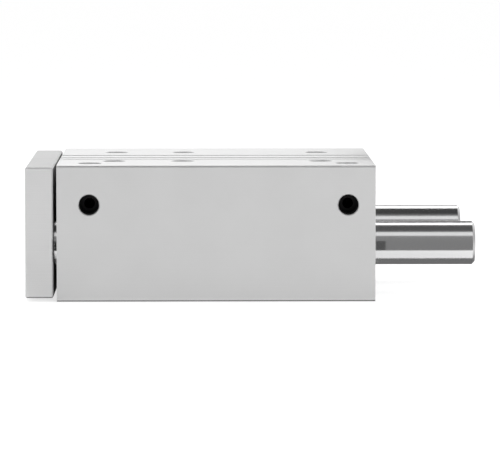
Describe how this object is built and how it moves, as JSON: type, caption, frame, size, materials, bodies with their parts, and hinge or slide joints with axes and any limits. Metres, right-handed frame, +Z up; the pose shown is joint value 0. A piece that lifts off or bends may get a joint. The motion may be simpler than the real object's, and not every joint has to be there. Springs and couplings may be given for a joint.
{
  "type": "guided pneumatic cylinder",
  "caption": "Flat aluminium pneumatic cylinder whose piston rod and chromed guide rods push a yoke plate in a straight line, with threaded air ports and sensor slots.",
  "frame": {"origin": "middle of the housing's bottom face", "axes": "+X along the stroke towards the rear, away from the yoke plate; +Z up, normal to the wide faces"},
  "size_m": [0.2578, 0.16, 0.078],
  "materials": {
    "housing_aluminium": "fine bead-blasted, clear anodised",
    "yoke_aluminium": "milled, clear anodised",
    "guide_chrome": "ground and hard chromed",
    "rod_chrome": "ground and hard chromed",
    "turned_aluminium": "turned",
    "bearing_bronze": "sintered",
    "magnet_compound": "moulded",
    "band_plastic": "moulded",
    "spring_steel": "phosphated",
    "fastener_steel": "zinc plated",
    "seal_rubber": "moulded"
  },
  "bodies": {
    "housing": {"housing": "housing_aluminium", "bearing_cap": "turned_aluminium", "rod_bush": "bearing_bronze", "rod_seal": "seal_rubber", "bearing_cap_oring": "seal_rubber", "bearing_cap_ring": "spring_steel", "front_bumper": "seal_rubber", "end_cap": "turned_aluminium", "end_cap_oring": "seal_rubber", "end_cap_ring": "spring_steel", "rear_bumper": "seal_rubber", "port_plugs": "fastener_steel", "guide_bush_front_left": "bearing_bronze", "guide_bush_front_right": "bearing_bronze", "guide_bush_rear_left": "bearing_bronze", "guide_bush_rear_right": "bearing_bronze", "guide_wiper_left": "seal_rubber", "guide_wiper_right": "seal_rubber", "guide_ring_left": "spring_steel", "guide_ring_right": "spring_steel"},
    "slider": {"yoke_plate": "yoke_aluminium", "yoke_screws": "fastener_steel", "guide_rod_left": "guide_chrome", "guide_rod_right": "guide_chrome", "piston_rod": "rod_chrome", "piston_front": "turned_aluminium", "piston_rear": "turned_aluminium", "piston_magnet": "magnet_compound", "piston_guide_band": "band_plastic", "piston_seal_front": "seal_rubber", "piston_seal_rear": "seal_rubber", "piston_nut": "fastener_steel"}
  },
  "joints": [
    {"name": "yoke_slide", "type": "slide", "parent": "housing", "child": "slider", "axis": [-1, 0, 0], "range_m": [0, 0.1]}
  ]
}
